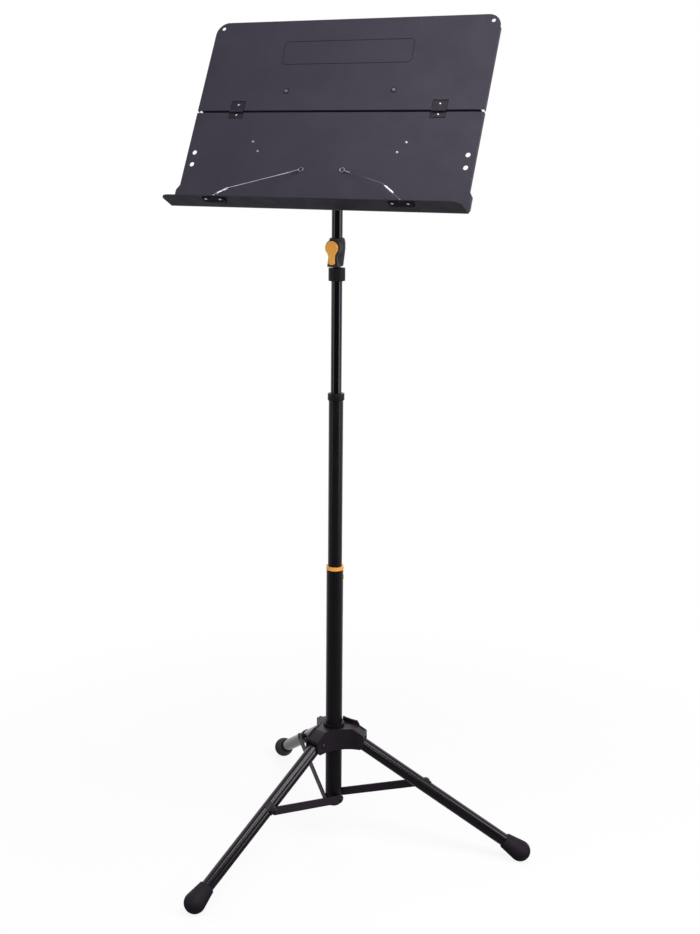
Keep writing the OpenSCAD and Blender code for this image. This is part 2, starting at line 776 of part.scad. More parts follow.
// Sliding foot of a tube: a guide disc below the tube and a plug inside it
module foot_bush(slide_r, plug_r, end_z) {
    rotate_extrude() polygon([
        [0, end_z - foot_bush_len], [slide_r, end_z - foot_bush_len], [slide_r, end_z],
        [plug_r, end_z], [plug_r, end_z + bush_plug_len], [0, end_z + bush_plug_len]]);
}

module middle_foot_bush() {
    color("#232126") foot_bush(lower_in_r - run_gap, middle_in_r, middle_bottom_z);
}

module upper_tube() {
    color("#17151b") tube(upper_r, upper_in_r, upper_bottom_z, upper_top_z);
}

module upper_collar() {
    color("#121013") difference() {
        tube(upper_collar_d / 2, spigot_r, upper_collar_z, upper_collar_top_z);
        translate([0, 0, upper_collar_z - eps]) cylinder(r = upper_r, h = upper_top_z - upper_collar_z + eps);
    }
}

module upper_foot_bush() {
    color("#232126") foot_bush(middle_in_r - run_gap, upper_in_r, upper_bottom_z);
}

module spigot() {
    color("#26242a") rotate_extrude() polygon([
        [0, upper_collar_z], [upper_in_r, upper_collar_z], [upper_in_r, upper_top_z],
        [spigot_r, upper_top_z], [spigot_r, spigot_top_z - 1], [spigot_r - 1, spigot_top_z],
        [0, spigot_top_z]]);
}

// ---- Neck and clamp ----

// Outline of the lever about its axis, grown by grow: round head, hollow sides and a tail down to end_z
function lever_outline(grow, end_z, end_w, corner) = let (
    head = lever_r + grow,
    tail = lever_tip_w / 2 + grow,
    waist = lever_waist_r - grow,
    drop = sqrt(pow(head + waist, 2) - pow(tail + waist, 2)),
    flare = atan2(drop, tail + waist),
    low_x = end_w / 2 - corner,
    low_z = end_z + corner)
    concat(arc([0, 0], head, -flare, 180 + flare),
        arc([-tail - waist, -drop], waist, flare, 0), arc([-low_x, low_z], corner, 180, 270),
        arc([low_x, low_z], corner, 270, 360), arc([tail + waist, -drop], waist, 180, 180 - flare));

// Waisted barrel round the spigot and the neck, with a flat pad behind the lever
module clamp_body() {
    screw_in = spigot_r + gap + 1;
    edge = 1.5;
    color("#1d1b20") difference() {
        union() {
            translate([0, 0, clamp_z]) rotate_extrude() polygon([
                [0, 0], [clamp_foot_d / 2 - edge, 0], [clamp_foot_d / 2, edge],
                [clamp_d / 2, 0.62 * clamp_h], [clamp_d / 2, 0.82 * clamp_h],
                [clamp_top_d / 2, clamp_h - edge], [clamp_top_d / 2 - edge, clamp_h], [0, clamp_h]]);
            translate([0, 0, lever_z]) plate_y(-lever_y + gap, 0,
                lever_outline(boss_grow, clamp_z - lever_z, boss_foot_w, 1));
        }
        translate([0, 0, clamp_z - eps]) cylinder(r = spigot_r + run_gap, h = clamp_h);
        translate([0, 0, neck_bottom_z]) cylinder(r = neck_r, h = neck_seat + eps);
        translate([0, 0, lever_z]) y_cyl(clamp_screw_r, -lever_y - eps, -screw_in);
    }
}

// Screw that presses on the spigot when the lever turns
module clamp_screw() {
    screw_in = spigot_r + gap + 1;
    color("#8d8b90") translate([0, 0, lever_z]) {
        y_cyl(clamp_screw_r, -lever_y - lever_t + 2, -screw_in);
    }
}

// Teardrop lever that hangs down the front of the clamp
module clamp_lever() {
    color("#d99a3e") translate([0, 0, lever_z]) difference() {
        plate_y(-lever_y - lever_t, -lever_y, lever_outline(0, -lever_len, lever_tip_w, 3));
        y_cyl(clamp_screw_r + run_gap, -lever_y - lever_t + 2 - gap, 0);
    }
}

module neck_tube() {
    color("#17151b") tube(neck_r, neck_r - tube_wall, neck_bottom_z, neck_top_z);
}

module tilt_barrel() {
    color("#151316") difference() {
        union() {
            translate([0, 0, neck_top_z]) cylinder(r = neck_r, h = tilt_z - neck_top_z);
            translate([0, 0, neck_top_z - neck_plug_len])
                cylinder(r = neck_r - tube_wall, h = neck_plug_len + eps);
            translate([0, 0, tilt_z]) x_cyl(barrel_r, -barrel_w / 2, barrel_w / 2);
        }
        translate([0, 0, tilt_z]) x_cyl(tilt_bolt_r + run_gap, -barrel_w, barrel_w);
    }
}

// ---- Desk bracket ----

module desk_bracket() {
    reach = rivet_head_r + 4;
    half_h = bracket_h / 2;
    half_w = ear_x + bracket_t + 12;
    color("#1b191d") desk_frame() difference() {
        union() {
            plate_y(back_y, bracket_y, concat(
                [[-half_w, half_h - 8], [-half_w + 8, half_h], [half_w - 8, half_h], [half_w, half_h - 8]],
                arc([wing_outer_s, bend_z + wing_outer_t], reach, 90, -10),
                arc([wing_inner_s, bend_z + wing_inner_t], reach, -35, -110),
                [[half_w, 8 - half_h], [half_w - 8, -half_h], [8 - half_w, -half_h], [-half_w, 8 - half_h]],
                arc([-wing_inner_s, bend_z + wing_inner_t], reach, 290, 215),
                arc([-wing_outer_s, bend_z + wing_outer_t], reach, 190, 90)));
            both_sides() rotate([0, 90, 0]) translate([0, 0, ear_x]) linear_extrude(bracket_t) polygon(concat(
                [[ear_r + 8, back_y + bracket_t / 2], [ear_r + 8, bracket_y]], arc([0, 0], ear_r, 0, 180),
                [[-ear_r - 8, bracket_y], [-ear_r - 8, back_y + bracket_t / 2]]));
        }
        x_cyl(tilt_bolt_r, -far, far);
        bracket_rivet_places() y_cyl(rivet_r, back_y - eps, bracket_y + eps);
    }
}

module bracket_rivet_places() {
    both_sides() {
        translate([wing_outer_s, 0, bend_z + wing_outer_t]) children();
        translate([wing_inner_s, 0, bend_z + wing_inner_t]) children();
    }
}

// Domed rivet whose head sits on the front face at y = a and whose tail ends at y = b
module desk_rivet(head_r, head_h, shank_r, a, b) {
    y_cyl(shank_r, a, b);
    translate([0, a, 0]) rotate([90, 0, 0]) button_head(head_r, head_h);
    translate([0, b, 0]) rotate([-90, 0, 0]) button_head(head_r * 0.9, head_h * 0.8);
}

module bracket_rivets() {
    color("#a9a7ac") desk_frame() bracket_rivet_places()
        desk_rivet(rivet_head_r, 1.4, rivet_r, face_y, bracket_y);
}

module tilt_bolt() {
    end_x = ear_x + bracket_t;
    color("#8d8b90") desk_frame() {
        x_cyl(tilt_bolt_r, -end_x, end_x + tilt_head_h + 2);
        translate([-end_x, 0, 0]) rotate([0, -90, 0]) button_head(tilt_head_r, tilt_head_h);
    }
}

module tilt_nut() {
    end_x = ear_x + bracket_t;
    color("#8d8b90") desk_frame() difference() {
        translate([end_x, 0, 0]) rotate([0, 90, 0]) cylinder(r = tilt_head_r, h = tilt_head_h, $fn = 6);
        x_cyl(tilt_bolt_r, 0, end_x + tilt_head_h + eps);
    }
}

// ---- Desk panels ----

// Outline of the lower panel above the bend, drawn in by inset
function lower_outline(inset) = let (
    foot_x = shelf_w / 2 - inset,
    side_x = panel_w / 2 - inset,
    band_z = bend_z + foot_band_h - inset / 2,
    foot_z = bend_centre.y - inset,
    z = lower_edge_z - inset)
    [[-foot_x, foot_z], [foot_x, foot_z], [foot_x, band_z], [side_x, band_z + shoulder_h],
        [side_x, z], [-side_x, z], [-side_x, band_z + shoulder_h], [-foot_x, band_z]];

// Outline of the upper panel, drawn in by inset
function upper_outline(inset) = let (
    x = panel_w / 2 - inset,
    z = top_z - inset,
    r = desk_corner_r - inset)
    concat([[-x, upper_edge_z + inset], [x, upper_edge_z + inset]],
        arc([x - r, z - r], r, 0, 90), arc([r - x, z - r], r, 90, 180));

// Shallow pressed tray: the face with a flange round its back, relieved at the ends of the fold line
module tray(outer, inner, side) {
    relief_x = panel_w / 2 - sheet - relief_w;
    edge_z = side > 0 ? upper_edge_z : lower_edge_z - sheet;
    difference() {
        plate_y(face_y, flange_y, outer);
        plate_y(back_y, flange_y + eps, inner);
        both_sides() translate([relief_x, back_y, edge_z - eps])
            cube([relief_w, flange_y - back_y + eps, sheet + 2 * eps]);
    }
}

// Box over a hinge leaf, from the fold line down (side -1) or up (side 1)
module leaf_box(side, reach, grow, a, b) {
    w = hinge_w + 2 * grow;
    h = reach + grow;
    translate([-w / 2, a, side > 0 ? fold_z : fold_z - h]) cube([w, b - a, h]);
}

// Pressed recess for the hinge leaves: added material behind, then the recess itself
module recess_back(side, reach) {
    both_sides() translate([hinge_s, 0, 0]) intersection() {
        leaf_box(side, reach, recess_play + sheet, back_y - eps / 2, face_y + recess_d + sheet);
        translate([-far / 2, -far, side > 0 ? upper_edge_z : lower_edge_z - far]) cube([far, 2 * far, far]);
    }
}

module recess_cut(side, reach) {
    both_sides() translate([hinge_s, 0, 0])
        leaf_box(side, reach, recess_play, face_y - eps, face_y + recess_d);
}

// Places of the hinge rivets below and above the fold line
module leaf_rivet_places(side, reach) {
    both_sides() translate([hinge_s, 0, fold_z + side * (reach - leaf_rivet_in)]) children();
}

// The bend and the shelf in one profile, with round front corners
module shelf() {
    turn = 90 - shelf_open;
    r = shelf_corner_r;
    difference() {
        desk_frame() plate_x(shelf_w / 2, concat(
            [[face_y, bend_centre.y + bend_r], [back_y, bend_centre.y + bend_r]],
            arc(bend_centre, bend_r, 0, -turn),
            [desk_point([shelf_front, 0]), desk_point([shelf_front, sheet])],
            arc(bend_centre, bend_r - sheet, -turn, 0)));
        shelf_frame() both_sides() translate([shelf_w / 2 - r, shelf_front + r, 0]) corner_cut(r);
    }
}

module lower_panel() {
    color("#3d3a45") difference() {
        union() {
            desk_frame() {
                tray(lower_outline(0), lower_outline(sheet), -1);
                stop_lip();
                recess_back(-1, hinge_down);
            }
            shelf();
        }
        desk_frame() {
            plate_x(shelf_w, [[back_y, bend_centre.y], [flange_y + 1, bend_centre.y - 1],
                [flange_y + 1, bend_centre.y + flange_d], [back_y, bend_centre.y]]);
            recess_cut(-1, hinge_down);
            leaf_rivet_places(-1, hinge_down) y_cyl(rivet_r / 2, face_y, flange_y);
            bracket_rivet_places() y_cyl(rivet_r, face_y - eps, flange_y);
            both_sides() for (i = [0, 1])
                translate([panel_w / 2 - hole_inset, 0, bend_z + side_hole_t + i * side_hole_pitch])
                    y_cyl(side_hole_r, face_y - eps, back_y + eps);
        }
        shelf_frame() holder_holes(0, sheet);
    }
}

// Lip behind the fold line, which the upper panel rests against when the desk is open
module stop_lip() {
    w = panel_w - 2 * lip_end;
    root_y = back_y - eps / 2;
    translate([-w / 2, root_y, lower_edge_z - sheet]) cube([w, lip_y + sheet - root_y, sheet]);
    translate([-w / 2, lip_y, lower_edge_z - sheet]) cube([w, sheet, sheet + fold_gap + lip_up]);
}

module upper_panel() {
    color("#3d3a45") desk_frame() difference() {
        union() {
            tray(upper_outline(0), upper_outline(sheet), 1);
            recess_back(1, hinge_up);
        }
        recess_cut(1, hinge_up);
        plaque_groove();
        both_sides() translate([panel_w / 2 - desk_corner_r, back_y, top_z - desk_corner_r])
            cube([2 * desk_corner_r, 2 * flange_d, 2 * desk_corner_r]);
        leaf_rivet_places(1, hinge_up) y_cyl(rivet_r / 2, face_y, flange_y);
        both_sides() translate([lock_s, 0, lock_z]) y_cyl(lock_pin_r, face_y - eps, back_y + eps);
        both_sides() translate([panel_w / 2 - hole_inset, 0, top_z - hole_inset + corner_hole_r / 2])
            y_cyl(corner_hole_r, face_y - eps, back_y + eps);
    }
}

// Plain pressed border
module plaque_groove() {
    corner = 8;
    translate([0, 0, bend_z + plaque_t]) difference() {
        plate_y(face_y - eps, face_y + plaque_deep, round_box(plaque_w, plaque_h, corner));
        plate_y(face_y - 2 * eps, face_y + plaque_deep + eps,
            round_box(plaque_w - 2 * plaque_line, plaque_h - 2 * plaque_line, corner - plaque_line));
    }
}

// ---- Desk hinges ----

// One leaf, with its knuckle on the half of the hinge given by half
module hinge_leaf(side, reach, half, bore_r) {
    leaf_y = face_y + recess_d;
    knuckle_a = half > 0 ? knuckle_gap / 2 : -hinge_w / 2;
    knuckle_b = half > 0 ? hinge_w / 2 : -knuckle_gap / 2;
    difference() {
        union() {
            translate([-hinge_w / 2, leaf_y - leaf_t, side > 0 ? fold_z + knuckle_room : fold_z - reach])
                cube([hinge_w, leaf_t, reach - knuckle_room]);
            translate([knuckle_a, leaf_y - leaf_t, side > 0 ? fold_z : fold_z - knuckle_room - eps])
                cube([knuckle_b - knuckle_a, leaf_t, knuckle_room + eps]);
            translate([0, fold_y, fold_z]) x_cyl(knuckle_r, knuckle_a, knuckle_b);
        }
        translate([0, fold_y, fold_z]) x_cyl(bore_r, -hinge_w, hinge_w);
        translate([0, 0, fold_z + side * (reach - leaf_rivet_in)]) y_cyl(rivet_r / 2, face_y - eps, flange_y);
    }
}

module hinge_leaves(side, reach, half, bore_r) {
    desk_frame() both_sides() translate([hinge_s, 0, 0]) hinge_leaf(side, reach, half, bore_r);
}

module lower_hinge_leaves() {
    color("#49464f") hinge_leaves(-1, hinge_down, -1, hinge_pin_r);
}

module upper_hinge_leaves() {
    color("#49464f") hinge_leaves(1, hinge_up, 1, hinge_pin_r + run_gap);
}

module hinge_pins() {
    color("#8d8b90") desk_frame() both_sides() translate([hinge_s, fold_y, fold_z])
        x_cyl(hinge_pin_r, -hinge_w / 2, hinge_w / 2);
}

module leaf_rivets(side, reach) {
    front_y = face_y + recess_d - leaf_t;
    desk_frame() leaf_rivet_places(side, reach) {
        y_cyl(rivet_r / 2, front_y, front_y + leaf_t + sheet);
        translate([0, front_y, 0]) rotate([90, 0, 0]) button_head(rivet_r, 0.8);
    }
}

module lower_leaf_rivets() {
    color("#a9a7ac") leaf_rivets(-1, hinge_down);
}

module upper_leaf_rivets() {
    color("#a9a7ac") leaf_rivets(1, hinge_up);
}

// ---- Desk locks ----

// Rivet with a shoulder that carries the lock bar clear of the fold flanges
module lock_rivets() {
    shoulder_y = lock_y - gap;
    tail_y = lock_y + lock_t + gap;
    color("#a9a7ac") desk_frame() both_sides() translate([lock_s, 0, lock_z]) {
        y_cyl(lock_pin_r, face_y, tail_y);
        y_cyl(lock_shoulder_r, back_y, shoulder_y);
        translate([0, face_y, 0]) rotate([90, 0, 0]) button_head(lock_head_r, lock_head_h);
        translate([0, tail_y, 0]) rotate([-90, 0, 0]) button_head(lock_shoulder_r, lock_head_h * 0.7);
    }
}

// Bar that hangs across the fold line behind the desk and keeps it from folding back
module lock_bar() {
    difference() {
        plate_y(lock_y, lock_y + lock_t, [for (p = bar_outline(lock_len - lock_w / 2, lock_w)) [p.y, -p.x]]);
        y_cyl(lock_pin_r + run_gap, lock_y - eps, lock_y + lock_t + eps);
    }
}

module lock_bar_left() {
    color("#6f6d72") desk_frame() translate([-lock_s, 0, lock_z]) lock_bar();
}

module lock_bar_right() {
    color("#6f6d72") desk_frame() translate([lock_s, 0, lock_z]) lock_bar();
}

// ---- Page holders ----

// Places of the bracket rivets, in the shelf's frame
module holder_rivet_places() {
    both_sides() for (i = [-1, 1])
        translate([holder_s + i * holder_rivet_pitch / 2, holder_rivet_y, 0]) children();
}

// Holes for the holder posts and the bracket rivets, from z = a to z = b
module holder_holes(a, b) {
    translate([0, 0, a - eps]) {
        both_sides() translate([holder_s, holder_y, 0]) cylinder(r = wire_r + run_gap, h = b - a + 2 * eps);
        holder_rivet_places() cylinder(r = holder_rivet_r, h = b - a + 2 * eps);
    }
}

// Half-moon plate under the shelf's front edge, which the holder's post turns in
module holder_brackets() {
    half = holder_bracket_w / 2;
    r = (half * half + holder_bulge * holder_bulge) / (2 * holder_bulge);
    sweep = asin(half / r);
    corner = 5;
    rear_x = half - corner;
    rear_y = holder_bracket_front + holder_bracket_d - corner;
    outline = concat(arc([0, holder_bracket_front + r], r, 270 - sweep, 270 + sweep),
        arc([rear_x, rear_y], corner, 0, 90), arc([-rear_x, rear_y], corner, 90, 180));
    color("#141216") shelf_frame() difference() {
        both_sides() translate([holder_s, 0, -holder_bracket_t])
            linear_extrude(holder_bracket_t) polygon(outline);
        holder_holes(-holder_bracket_t, 0);
    }
}

module holder_bracket_rivets() {
    color("#77757a") shelf_frame() translate([0, 0, -holder_bracket_t]) holder_rivet_places() {
        cylinder(r = holder_rivet_r, h = holder_bracket_t + sheet);
        rotate([180, 0, 0]) button_head(holder_rivet_head_r, 0.8);
        translate([0, 0, holder_bracket_t + sheet]) button_head(holder_rivet_head_r, 0.8);
    }
}

// Wire between two points of the holder's own x-z plane
module rod(a, b, r) {
    translate([a.x, 0, a.y]) rotate([0, atan2(b.x - a.x, b.y - a.y), 0]) cylinder(r = r, h = norm(b - a));
}

// Wire arm: post through the bracket and shelf, rise through the spring, knee, then straight to the eye
module holder_wire(knee) {
    bend = [0, holder_bend];
    eye = [holder_run, eye_place.y];
    along = (eye - knee) / norm(eye - knee);
    neck = eye - (eye_r - wire_r) * along;
    rod([0, holder_foot], bend, wire_r);
    rod(bend, knee, wire_r);
    rod(knee, neck, wire_r);
    rod(neck - twist_len * along, neck, twist_r);
    for (p = [bend, knee]) translate([p.x, 0, p.y]) sphere(r = wire_elbow_r, $fn = 24);
    translate([eye.x, 0, eye.y]) rotate([0, 0, -holder_turn]) rotate([90 - shelf_open, 0, 0])
        rotate_extrude() translate([eye_r - wire_r, 0]) circle(r = wire_r, $fn = 24);
}

// Coil spring on the rising part of the arm, as its outer sleeve
module holder_sleeve(knee, len, bare) {
    bend = [0, holder_bend];
    along = (knee - bend) / norm(knee - bend);
    start = knee - (len + bare) * along;
    difference() {
        rod(start, start + len * along, holder_spring_r);
        rod(start - eps * along, start + (len + eps) * along, wire_r);
    }
}

// Origin on the right holder's pivot, +x towards its eye, +z square to the shelf
module right_holder_frame() {
    shelf_frame() translate([holder_s, holder_y, 0]) rotate([0, 0, holder_turn]) children();
}

module left_holder_frame() {
    shelf_frame() mirror([1, 0, 0]) translate([holder_s, holder_y, 0]) rotate([0, 0, holder_turn]) children();
}

module page_holder_left() {
    color("#c9c7cc") left_holder_frame() holder_wire([left_knee, left_knee_t]);
}

module page_holder_right() {
    color("#c9c7cc") right_holder_frame() holder_wire([right_knee, right_knee_t]);
}

module holder_spring_left() {
    color("#b9b7bc") left_holder_frame()
        holder_sleeve([left_knee, left_knee_t], left_spring_len, left_spring_gap);
}

module holder_spring_right() {
    color("#b9b7bc") right_holder_frame()
        holder_sleeve([right_knee, right_knee_t], right_spring_len, right_spring_gap);
}

// ---- Nodes ----

lower_tube();
bottom_plug();
strut_pins();
shaft_ring();
hub();
hub_bush();
leg_bolts();
leg_nuts();
leg_tube(0);  // leg_tube_a
leg_tube(1);  // leg_tube_b
leg_tube(2);  // leg_tube_c
leg_head(0);  // leg_head_a
leg_head(1);  // leg_head_b
leg_head(2);  // leg_head_c
leg_clip(0);  // leg_clip_a
leg_clip(1);  // leg_clip_b
leg_clip(2);  // leg_clip_c
foot(0);  // foot_a
foot(1);  // foot_b
foot(2);  // foot_c
strut(0);  // strut_a
strut(1);  // strut_b
strut(2);  // strut_c
strut_rivet(0);  // strut_rivet_a
strut_rivet(1);  // strut_rivet_b
strut_rivet(2);  // strut_rivet_c
middle_tube();
middle_collar();
middle_foot_bush();
upper_tube();
upper_collar();
upper_foot_bush();
spigot();
clamp_body();
clamp_screw();
clamp_lever();
neck_tube();
tilt_barrel();
desk_bracket();
bracket_rivets();
tilt_bolt();
tilt_nut();
lower_panel();
lower_hinge_leaves();
hinge_pins();
lower_leaf_rivets();
holder_brackets();
holder_bracket_rivets();
upper_panel();
upper_hinge_leaves();
upper_leaf_rivets();
lock_rivets();
lock_bar_left();
lock_bar_right();
page_holder_left();
page_holder_right();
holder_spring_left();
holder_spring_right();
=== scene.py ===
import json
import math

import bpy
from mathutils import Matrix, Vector


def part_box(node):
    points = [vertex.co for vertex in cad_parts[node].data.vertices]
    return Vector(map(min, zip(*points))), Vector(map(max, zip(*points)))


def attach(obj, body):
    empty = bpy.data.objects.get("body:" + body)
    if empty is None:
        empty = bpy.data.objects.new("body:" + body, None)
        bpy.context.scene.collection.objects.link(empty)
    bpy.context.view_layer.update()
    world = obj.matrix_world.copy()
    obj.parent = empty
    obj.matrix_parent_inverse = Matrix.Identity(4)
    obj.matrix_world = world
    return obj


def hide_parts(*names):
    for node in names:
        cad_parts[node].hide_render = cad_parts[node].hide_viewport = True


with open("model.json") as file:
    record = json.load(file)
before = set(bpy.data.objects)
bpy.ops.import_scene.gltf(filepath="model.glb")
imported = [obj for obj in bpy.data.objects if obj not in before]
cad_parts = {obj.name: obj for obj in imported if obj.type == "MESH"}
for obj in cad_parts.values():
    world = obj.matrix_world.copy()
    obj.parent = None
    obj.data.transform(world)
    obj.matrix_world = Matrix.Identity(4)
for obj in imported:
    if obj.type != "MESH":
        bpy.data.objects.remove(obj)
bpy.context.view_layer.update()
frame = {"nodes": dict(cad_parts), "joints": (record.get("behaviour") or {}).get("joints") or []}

MM = 0.001
TAU = 2 * math.pi
NODES = frame["nodes"]
JOINTS = {j["name"]: j for j in frame["joints"]}

# The desk at rest: its lean, the height of its tilt axis and how far its face stands before that axis
DESK_LEAN = math.radians(29)
TILT_Z = 1.22
FACE_FORWARD = 0.0446
# The plane of the face: the points where FACE . point is FACE_AT
FACE = Vector((0, -math.cos(DESK_LEAN), math.sin(DESK_LEAN)))
FACE_AT = FACE_FORWARD + TILT_Z * math.sin(DESK_LEAN)


# ---- Material helpers ----

# Scales of the noises, in cycles a metre
CLOUD = 14.0
GLOSS = 45.0
PATCH = 120.0
PEEL = 160.0
# Share of the grain's scale that the paler specks have, and how much paler they are
SPECK = 0.6
SPECK_GAIN = 1.25
# Spread of the roughness about its middle value
GLOSS_SPREAD = 0.12
# Roughness of streaked metal, as shares of its middle value, and the strength of its streaks
STREAK_GLOSS = (0.8, 1.25)
STREAK_STRENGTH = 0.25
# Heights of the bumps, in metres
PEEL_HEIGHT = 0.0004
GRAIN_HEIGHT = 0.0003
STREAK_HEIGHT = 0.0002
# Colours of the highlights
VIOLET = (1.0, 0.90, 1.0)
NEUTRAL = (1.0, 1.0, 1.0)


def new_material(name):
    """A new material, its node tree and its shader."""
    mat = bpy.data.materials.new(name)
    mat.use_nodes = True
    return mat, mat.node_tree, mat.node_tree.nodes["Principled BSDF"]


def coords(tree, scale):
    """Object coordinates, scaled, for noise of a real size."""
    tex = tree.nodes.new("ShaderNodeTexCoord")
    mapping = tree.nodes.new("ShaderNodeMapping")
    mapping.inputs["Scale"].default_value = scale if hasattr(scale, "__len__") else (scale,) * 3
    tree.links.new(tex.outputs["Object"], mapping.inputs["Vector"])
    return mapping.outputs["Vector"]


def noise(tree, vector, detail=3.0, rough=0.55):
    """Noise with values about 0.3 to 0.7."""
    node = tree.nodes.new("ShaderNodeTexNoise")
    node.inputs["Scale"].default_value = 1.0
    node.inputs["Detail"].default_value = detail
    node.inputs["Roughness"].default_value = rough
    tree.links.new(vector, node.inputs["Vector"])
    return node.outputs["Fac"]


def to_range(tree, value, low, high, from_low=0.3, from_high=0.7):
    """A value mapped from one range to another, and held within it."""
    node = tree.nodes.new("ShaderNodeMapRange")
    node.inputs["From Min"].default_value = from_low
    node.inputs["From Max"].default_value = from_high
    node.inputs["To Min"].default_value = low
    node.inputs["To Max"].default_value = high
    tree.links.new(value, node.inputs["Value"])
    return node.outputs["Result"]


def mix_colour(tree, fac, a, b):
    """Colour a where fac is 0 and b where it is 1. Each is a socket or a plain colour."""
    node = tree.nodes.new("ShaderNodeMix")
    node.data_type = "RGBA"
    for key, value in (("A", a), ("B", b)):
        socket = [s for s in node.inputs if s.name == key and s.type == "RGBA"][0]
        if hasattr(value, "is_linked"):
            tree.links.new(value, socket)
        else:
            socket.default_value = (*value, 1.0)
    tree.links.new(fac, node.inputs[0])
    return [s for s in node.outputs if s.type == "RGBA"][0]


def maths(tree, operation, *values):
    """One sum on sockets or plain numbers."""
    node = tree.nodes.new("ShaderNodeMath")
    node.operation = operation
    for socket, value in zip(node.inputs, values):
        if hasattr(value, "is_linked"):
            tree.links.new(value, socket)
        else:
            socket.default_value = value
    return node.outputs[0]


def dot(tree, vector, direction):
    """How far a vector reaches along a fixed direction."""
    node = tree.nodes.new("ShaderNodeVectorMath")
    node.operation = "DOT_PRODUCT"
    tree.links.new(vector, node.inputs[0])
    node.inputs[1].default_value = direction
    return node.outputs["Value"]


def bump(tree, bsdf, height, strength, distance, normal=None):
    """A bump on the shader's normal, over an earlier one where it is given."""
    node = tree.nodes.new("ShaderNodeBump")
    node.inputs["Strength"].default_value = strength
    node.inputs["Distance"].default_value = distance
    tree.links.new(height, node.inputs["Height"])
    if normal is not None:
        tree.links.new(normal, node.inputs["Normal"])
    tree.links.new(node.outputs["Normal"], bsdf.inputs["Normal"])
    return node.outputs["Normal"]


def painted(name, colour, light, rough, specular, grain=900.0, grain_depth=0.0, peel=0.0, tint=VIOLET):
    """Paint or moulding: mottled colour, uneven gloss, a fine grain and a soft orange peel."""
    mat, tree, bsdf = new_material(name)
    cloud = noise(tree, coords(tree, CLOUD), 4.0)
    speck = noise(tree, coords(tree, grain * SPECK), 2.0, 0.7)
    base = mix_colour(tree, to_range(tree, cloud, 0.0, 1.0), colour, light)
    paler = tuple(min(1.0, c * SPECK_GAIN) for c in light)
    specks = to_range(tree, speck, 0.0, 0.5, 0.5, 0.8)
    tree.links.new(mix_colour(tree, specks, base, paler), bsdf.inputs["Base Color"])
    gloss = noise(tree, coords(tree, GLOSS), 5.0)
    tree.links.new(to_range(tree, gloss, rough * (1 - GLOSS_SPREAD), rough * (1 + GLOSS_SPREAD)),
                   bsdf.inputs["Roughness"])
    bsdf.inputs["Specular IOR Level"].default_value = specular
    bsdf.inputs["Specular Tint"].default_value = (*tint, 1.0)
    normal = None
    if peel:
        normal = bump(tree, bsdf, noise(tree, coords(tree, PEEL), 2.0), peel, PEEL_HEIGHT)
    if grain_depth:
        bump(tree, bsdf, noise(tree, coords(tree, grain), 3.0, 0.6), grain_depth, GRAIN_HEIGHT, normal)
    return mat


def metal(name, colour, dark, rough, streak=(40.0, 40.0, 900.0)):
    """Plated or drawn steel: fine streaks, a few duller patches."""
    mat, tree, bsdf = new_material(name)
    patch = noise(tree, coords(tree, PATCH), 4.0)
    lines = noise(tree, coords(tree, streak), 3.0, 0.65)
    tree.links.new(mix_colour(tree, to_range(tree, patch, 0.0, 1.0), dark, colour), bsdf.inputs["Base Color"])
    smooth, dull = (rough * share for share in STREAK_GLOSS)
    tree.links.new(to_range(tree, lines, smooth, dull), bsdf.inputs["Roughness"])
    bsdf.inputs["Metallic"].default_value = 1.0
    bump(tree, bsdf, lines, STREAK_STRENGTH, STREAK_HEIGHT)
    return mat


# Sheen of the desk's face and of its shelf, and the distances before the face between which it changes
DESK_SHEEN = 0.20
SHELF_SHEEN = 0.028
SHELF_NEAR = 1 * MM
SHELF_FAR = 4 * MM
# Depth of the line pressed into the desk's face, and the colour painted at its bottom: painted shade and dust
LINE_DEEP = 0.5 * MM
LINE_SHADE_AND_DUST = (0.014, 0.012, 0.018)


def desk_finish(mat):
    """A matt shelf, which stands before the desk's face, and painted shade and dust at the bottom of the
    pressed line.
    """
    tree = mat.node_tree
    bsdf = tree.nodes["Principled BSDF"]
    place = tree.nodes.new("ShaderNodeTexCoord")
    out = dot(tree, place.outputs["Object"], FACE)
    sheen = to_range(tree, out, DESK_SHEEN, SHELF_SHEEN, FACE_AT + SHELF_NEAR, FACE_AT + SHELF_FAR)
    tree.links.new(sheen, bsdf.inputs["Specular IOR Level"])
    # Painted shade and dust: the paint turns dark in a band at the depth of the pressed line's bottom
    below = to_range(tree, out, 0.0, 1.0, FACE_AT - 0.5 * LINE_DEEP, FACE_AT - 0.8 * LINE_DEEP)
    above = to_range(tree, out, 0.0, 1.0, FACE_AT - 1.5 * LINE_DEEP, FACE_AT - 1.2 * LINE_DEEP)
    paint = bsdf.inputs["Base Color"].links[0].from_socket
    shaded_and_dusty = mix_colour(tree, maths(tree, "MULTIPLY", below, above), paint, LINE_SHADE_AND_DUST)
    tree.links.new(shaded_and_dusty, bsdf.inputs["Base Color"])


# ---- Materials ----

TUBE = painted(
    "tube_paint", (0.0018, 0.0012, 0.0025), (0.0030, 0.0020, 0.0040), 0.17, 0.45, peel=0.05)
SATIN_TUBE = painted(
    "satin_tube_paint", (0.0026, 0.0016, 0.0030), (0.0040, 0.0027, 0.0046), 0.34, 0.30, peel=0.08)
DESK = painted(
    "desk_paint", (0.0245, 0.0215, 0.0325), (0.0300, 0.0268, 0.0390), 0.48, DESK_SHEEN,
    grain=1500.0, grain_depth=0.35)
desk_finish(DESK)
BRACKET = painted(
    "bracket_paint", (0.0145, 0.0105, 0.0155), (0.0200, 0.0150, 0.0215), 0.44, 0.25, peel=0.12)
DARK_BRACKET = painted(
    "dark_bracket", (0.0095, 0.0075, 0.0112), (0.0130, 0.0105, 0.0150), 0.55, 0.012,
    grain=1500.0, grain_depth=0.3)
PLASTIC = painted(
    "black_plastic", (0.0040, 0.0028, 0.0048), (0.0065, 0.0048, 0.0076), 0.46, 0.2,
    grain=2200.0, grain_depth=0.3)
CLAMP = painted(
    "clamp_plastic", (0.0190, 0.0165, 0.0225), (0.0260, 0.0225, 0.0310), 0.48, 0.25,
    grain=1800.0, grain_depth=0.4)
